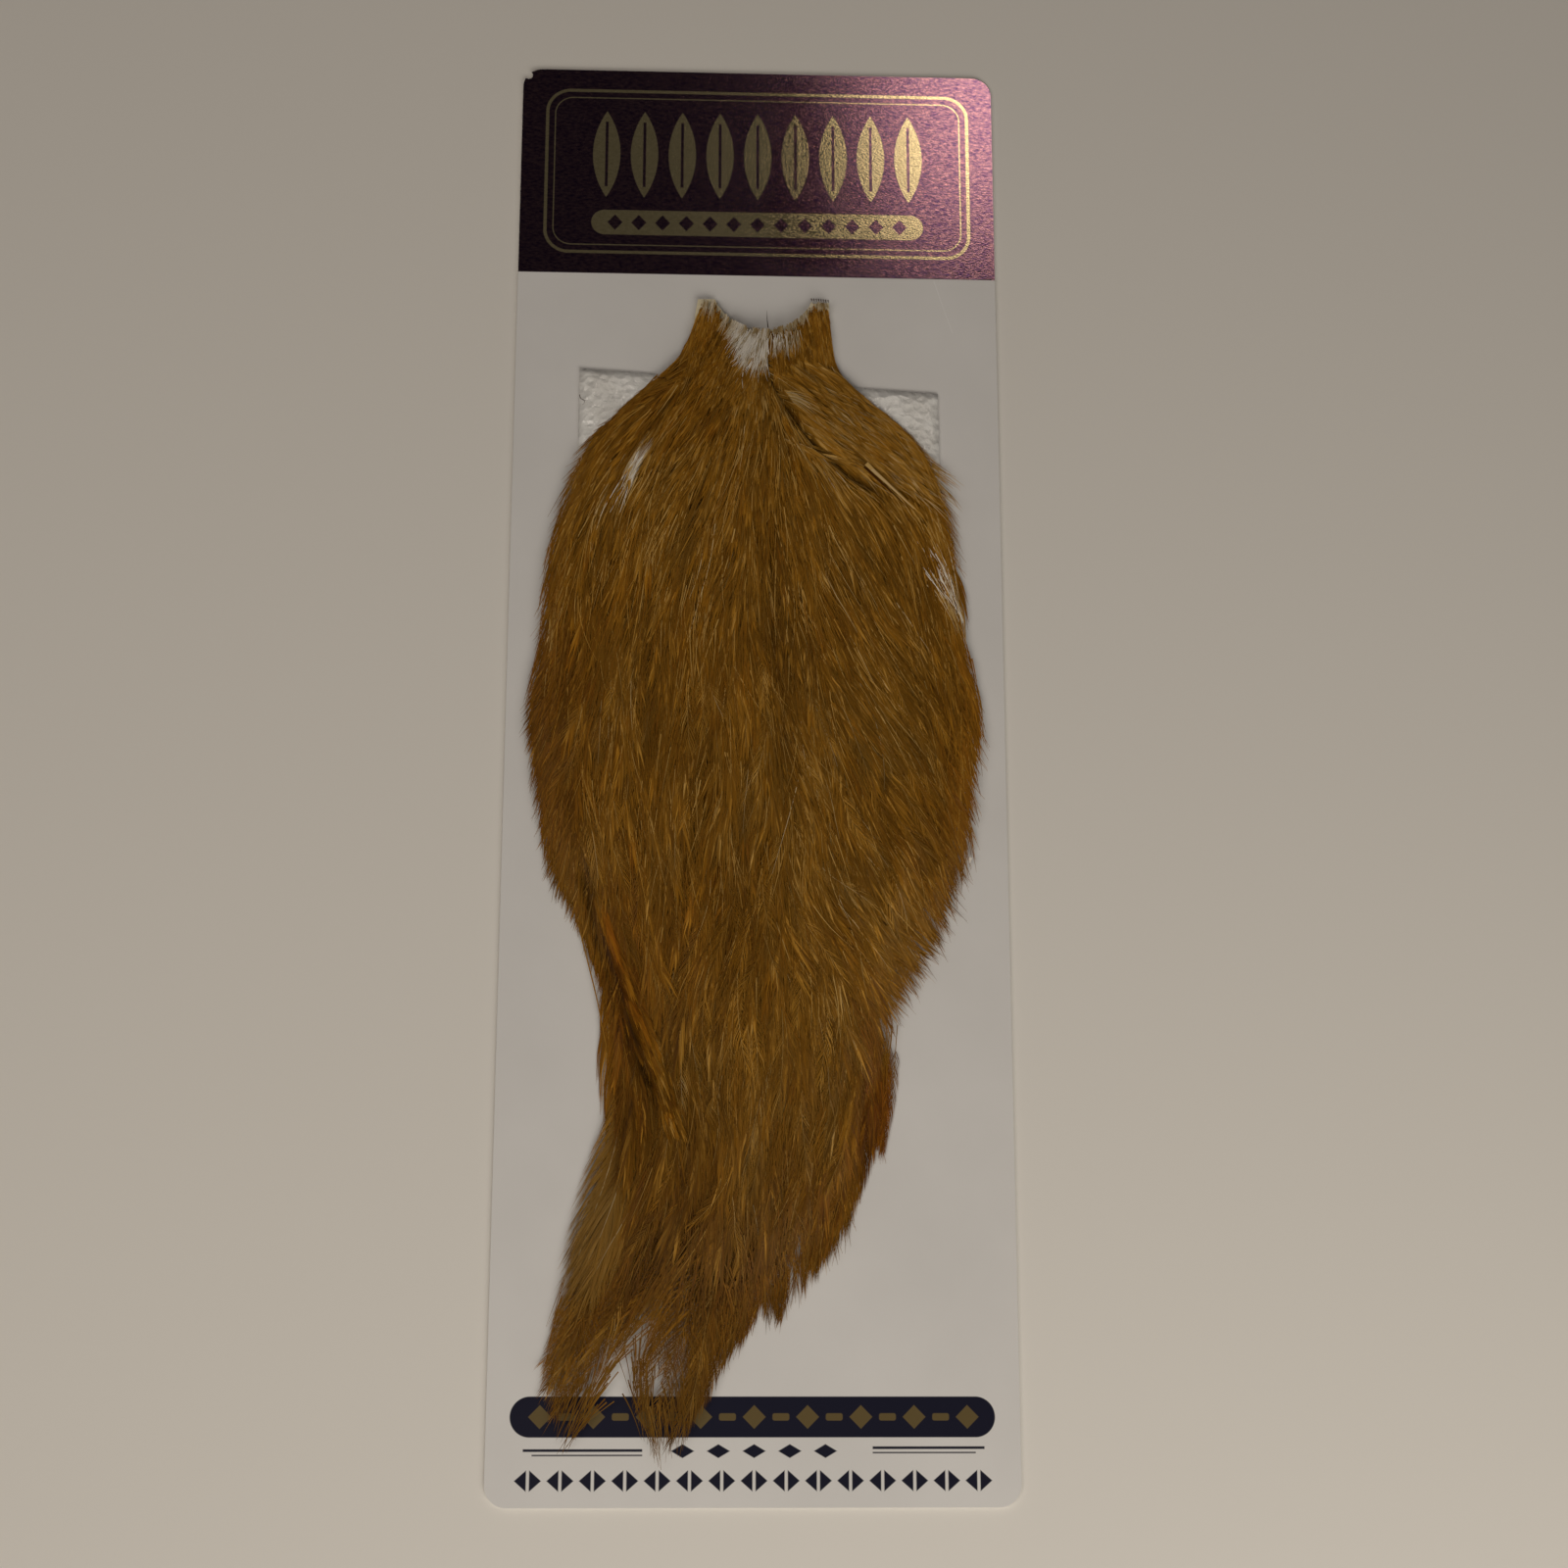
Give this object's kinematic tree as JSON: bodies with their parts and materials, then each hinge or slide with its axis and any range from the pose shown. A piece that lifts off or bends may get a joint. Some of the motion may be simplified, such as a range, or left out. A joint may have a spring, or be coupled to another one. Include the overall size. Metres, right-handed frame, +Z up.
{
  "type": "rooster cape",
  "caption": "Tanned rooster neck cape of long ginger hackle feathers, lying on a padding sheet on a stiff printed card with rounded corners.",
  "frame": {"origin": "centre of the card's underside, on the surface it lies on", "axes": "+X across the card to the right as seen from above, +Y along the card towards its header and the neck of the cape, +Z up out of the card's face"},
  "size_m": [0.12, 0.354, 0.0139],
  "materials": {
    "card": "coated white board with a dark purple foil header and a navy band",
    "padding": "thin crumpled milky plastic padding with a soft gloss",
    "feathers": "ginger hackle feathers with a silky sheen, cream at the neck"
  },
  "bodies": {
    "root": {"backing_card": "card", "padding_sheet": "padding", "cape": "feathers"}
  },
  "joints": []
}
